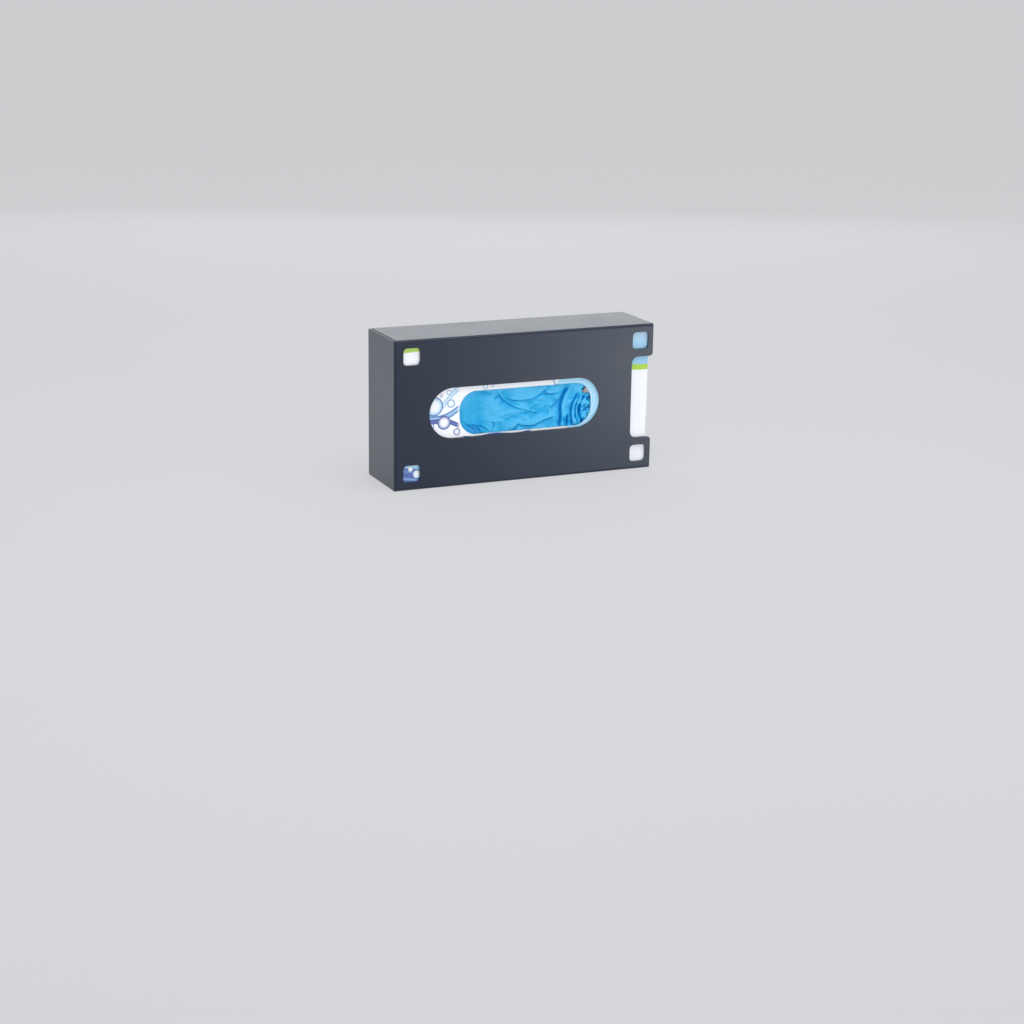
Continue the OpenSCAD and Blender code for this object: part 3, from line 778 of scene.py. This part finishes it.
class GLOVE_OT_top_glove(bpy.types.Operator):
    """Sculpts the glove on top, from its smooth palm to its gathered cuff"""

    bl_idname = "glove.top_glove"
    bl_label = "Top Glove"

    def execute(self, context):
        piece = closed_sheet("top_glove_film", columns=400, rows=148)
        unit = get_places(piece)
        u, v = unit[:, 0] + 0.5, 2 * unit[:, 1]
        back = unit[:, 2] < -0.5
        left_end, right_end, crowding, loft = -1.18, 1.05, 0.3, 7.5
        s = left_end + (right_end - left_end + crowding) * u - crowding * u ** 2
        seen, share = 0.53 * MOUTH_H, 0.78
        a = np.abs(v)
        outer = seen + (a - share) / (1 - share) * (glove_outline(s) - seen)
        z = np.sign(v) * np.where(a < share, a / share * seen, outer)
        x = s * MOUTH_W / 2
        height, lean, doubling_and_shade = folded_height(np.stack([x, z], 1) / MM)
        rise = np.minimum.reduce([np.ones_like(s), 4 * (1 - a), 12 * (s - left_end),
                                  40 * (right_end - s)])
        rise = np.sqrt(np.clip(rise, 0.02, 1))
        y = GLOVE_HIGH.y - (loft + height) * MM * rise
        y = np.clip(y, GLOVE_LOW.y, GLOVE_HIGH.y - 0.3 * MM)
        y[back] = GLOVE_HIGH.y
        lean[back] = 0
        x += MOUTH_X + lean[:, 0] * MM
        z += MOUTH_Z + lean[:, 1] * MM
        set_places(piece, np.stack([x, y, z], 1))
        # The colour follows the height less the doubling and painted shade.
        store_fold_height(piece, height - doubling_and_shade)
        point_outwards(piece)
        bpy.ops.object.shade_smooth()
        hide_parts("top_glove")
        finish_piece(piece, glove_film(context.scene.glove_film))
        return {"FINISHED"}


class GLOVE_OT_under_gloves(bpy.types.Operator):
    """Lays the flattened glove under the top one, and the pile below it"""

    bl_idname = "glove.under_gloves"
    bl_label = "Gloves Underneath"

    def execute(self, context):
        look = context.scene.glove_film
        piece = closed_sheet("next_glove_film", columns=150, rows=80)
        unit = get_places(piece)
        back = unit[:, 2] < -0.5
        u, v = 2 * unit[:, 0], 2 * unit[:, 1]
        corner = np.sqrt(np.maximum(1 - 0.5 * v ** 2 * u ** 8, 0))
        x = (NEXT_LOW.x + NEXT_HIGH.x) / 2 + u * corner * (NEXT_HIGH.x - NEXT_LOW.x) / 2
        z = (NEXT_LOW.z + NEXT_HIGH.z) / 2 + v * (NEXT_HIGH.z - NEXT_LOW.z) / 2
        place = np.stack([x, z], 1) / MM
        height = 0.5 * value_noise(place * (0.4, 1), 4, 11) + 0.5 * value_noise(place, 13, 12)
        y = NEXT_LOW.y + (0.5 - 0.5 * height) * (NEXT_HIGH.y - NEXT_LOW.y) * 0.8
        y[back] = NEXT_HIGH.y
        set_places(piece, np.stack([x, y, z], 1))
        # Colour height lowered by 0.8: the film is painted darker all over, deepest in its hollows,
        # which is painted shade.
        store_fold_height(piece, height - 0.8)
        point_outwards(piece)
        bpy.ops.object.shade_smooth()
        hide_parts("next_glove")
        finish_piece(piece, glove_film(look, "flattened film"))
        pile = softened_copy("glove_stack", rounding=2.5 * MM, segments=4)
        finish_piece(pile, glove_film(look, "piled film", use_folds=False))
        return {"FINISHED"}


class GLOVE_OT_studio(bpy.types.Operator):
    """Sets up the floor, the lights, the world and the camera"""

    bl_idname = "glove.studio"
    bl_label = "Studio"

    def execute(self, context):
        look = context.scene.glove_studio
        self.floor(look)
        self.world(look)
        self.soft_light("ceiling", look.ceiling_power, (-0.1, -0.5, 1.3), (0, -0.03, 0),
                        size=(1.2, 0.9))
        self.soft_light("back panel", look.back_power, (0.6, 1.45, 0.5), (0, -0.03, 0.05),
                        size=(1.6, 0.7))
        left_share = 0.2
        low_lamps = (
            self.soft_light("side window", look.window_power, (0.43, -0.58, -0.08),
                            (0.1, -0.066, -0.02), size=(0.3, 0.2)),
            self.soft_light("left panel", look.back_power * left_share, (-0.72, 0.95, -0.2),
                            (-0.12, -0.03, 0), size=(1.1, 0.4)))
        fill = self.soft_light("card fill", look.fill_power, (0.12, -1.25, -0.16),
                               (0, -0.066, 0), size=(0.5, 0.3))

        # The floor blocks none of these three. The fill lights the carton alone, and the two
        # others light neither the carton nor the floor.
        fill.light_linking.receiver_collection = self.chosen("INCLUDE", "carton_finished")
        for lamp in low_lamps:
            lamp.light_linking.receiver_collection = self.chosen(
                "EXCLUDE", "floor", "carton_finished")
        for lamp in (fill, *low_lamps):
            lamp.light_linking.blocker_collection = self.chosen("EXCLUDE", "floor")
        self.camera(look)
        context.scene.view_settings.view_transform = "Standard"
        return {"FINISHED"}

    def floor(self, look):
        deselect_all()
        bpy.ops.mesh.primitive_plane_add(size=80, location=(0, 0, CAD_BOX[0].z))
        floor = bpy.context.active_object
        floor.name = "floor"
        bpy.ops.object.transform_apply(location=True, rotation=True, scale=True)
        sheet = NodeSheet("pale floor")
        cloud = sheet.noise(3, detail=2)
        pale = opaque(look.floor_colour)
        sheet.feed(sheet.shader.inputs["Base Color"],
                   sheet.blend(sheet.ramp(cloud, 0.2, 0.8, 0, 0.04), pale, (1, 1, 1, 1)))
        sheet.shader.inputs["Roughness"].default_value = 0.9
        sheet.shader.inputs["Specular IOR Level"].default_value = 0.1
        rays = sheet.node("ShaderNodeLightPath")
        seen = sheet.math("MAXIMUM", rays.outputs["Is Camera Ray"],
                          sheet.math("MAXIMUM", rays.outputs["Is Glossy Ray"],
                                     rays.outputs["Is Transmission Ray"]))
        glow = sheet.node("ShaderNodeEmission", [pale, look.floor_glow])
        mixed = sheet.node("ShaderNodeMixShader",
                           [sheet.math("MULTIPLY", seen, look.floor_share), sheet.shader, glow])
        below = sheet.node("ShaderNodeNewGeometry").outputs["Backfacing"]
        two_sided = sheet.node("ShaderNodeMixShader",
                               [below, mixed, sheet.node("ShaderNodeBsdfTransparent")])
        sheet.feed(sheet.tree.nodes["Material Output"].inputs["Surface"], two_sided)
        floor.data.materials.append(sheet.material)

    def world(self, look):
        world = bpy.data.worlds.new("studio")
        bpy.context.scene.world = world
        world.use_nodes = True
        tree = world.node_tree
        rays = tree.nodes.new("ShaderNodeLightPath")
        mirrored = tree.nodes.new("ShaderNodeMath")
        mirrored.operation = "MAXIMUM"
        tree.links.new(rays.outputs["Is Glossy Ray"], mirrored.inputs[0])
        tree.links.new(rays.outputs["Is Transmission Ray"], mirrored.inputs[1])
        strength = tree.nodes.new("ShaderNodeMapRange")
        strength.inputs["To Min"].default_value = look.world_level
        strength.inputs["To Max"].default_value = MIRRORED_WORLD
        tree.links.new(mirrored.outputs[0], strength.inputs["Value"])
        background = tree.nodes["Background"]
        background.inputs["Color"].default_value = WORLD_TINT
        tree.links.new(strength.outputs[0], background.inputs["Strength"])

    def soft_light(self, name, power, place, target, size):
        lamp = bpy.data.lights.new(name, "AREA")
        lamp.energy = power
        lamp.color = LAMP_TINT
        lamp.shape = "RECTANGLE"
        lamp.size, lamp.size_y = size
        holder = bpy.data.objects.new(name, lamp)
        bpy.context.scene.collection.objects.link(holder)
        holder.visible_camera = False
        holder.location = place
        holder.rotation_euler = (Vector(target) - Vector(place)).to_track_quat("-Z", "Y").to_euler()
        return holder

    def chosen(self, state, *pieces):
        """A collection that leaves these pieces out of a lamp's light, or keeps it to them."""
        collection = bpy.data.collections.new(" ".join((state.lower(), *pieces)))
        for piece in pieces:
            collection.objects.link(bpy.data.objects[piece])
        for member in collection.collection_objects:
            member.light_linking.link_state = state
        return collection

    def camera(self, look):
        lens = bpy.data.cameras.new("camera")
        lens.lens = look.lens
        lens.sensor_width = 36
        lens.clip_start, lens.clip_end = 0.05, 50
        holder = bpy.data.objects.new("camera", lens)
        bpy.context.scene.collection.objects.link(holder)
        holder.location = CAMERA_PLACE
        turn = Matrix.Rotation(math.radians(CAMERA_TURN), 4, "Z")
        tilt = Matrix.Rotation(math.radians(90 - CAMERA_TILT), 4, "X")
        roll = Matrix.Rotation(math.radians(CAMERA_ROLL), 4, "Z")
        holder.rotation_euler = (turn @ tilt @ roll).to_euler()
        bpy.context.scene.camera = holder


OPERATORS = (GLOVE_OT_steel_holder, GLOVE_OT_carton, GLOVE_OT_top_glove, GLOVE_OT_under_gloves,
             GLOVE_OT_studio)
LOOKS = {"glove_coat": CoatLook, "glove_card": CardLook, "glove_film": FilmLook,
         "glove_studio": StudioLook}


class GLOVE_PT_panel(bpy.types.Panel):
    bl_label = "Glove Dispenser"
    bl_idname = "GLOVE_PT_panel"
    bl_space_type = "VIEW_3D"
    bl_region_type = "UI"
    bl_category = "Glove Dispenser"

    def draw(self, context):
        for operator in OPERATORS:
            self.layout.operator(operator.bl_idname)
        for group, look in LOOKS.items():
            box = self.layout.box()
            for name in look.__annotations__:
                box.prop(getattr(context.scene, group), name)


def register():
    for cls in (*LOOKS.values(), *OPERATORS, GLOVE_PT_panel):
        bpy.utils.register_class(cls)
    for group, look in LOOKS.items():
        setattr(bpy.types.Scene, group, bpy.props.PointerProperty(type=look))


def unregister():
    for group in LOOKS:
        delattr(bpy.types.Scene, group)
    for cls in reversed((*LOOKS.values(), *OPERATORS, GLOVE_PT_panel)):
        bpy.utils.unregister_class(cls)


def main():
    register()
    bpy.ops.glove.steel_holder()
    bpy.ops.glove.carton()
    bpy.ops.glove.top_glove()
    bpy.ops.glove.under_gloves()
    bpy.ops.glove.studio()


if __name__ == "__main__":
    main()
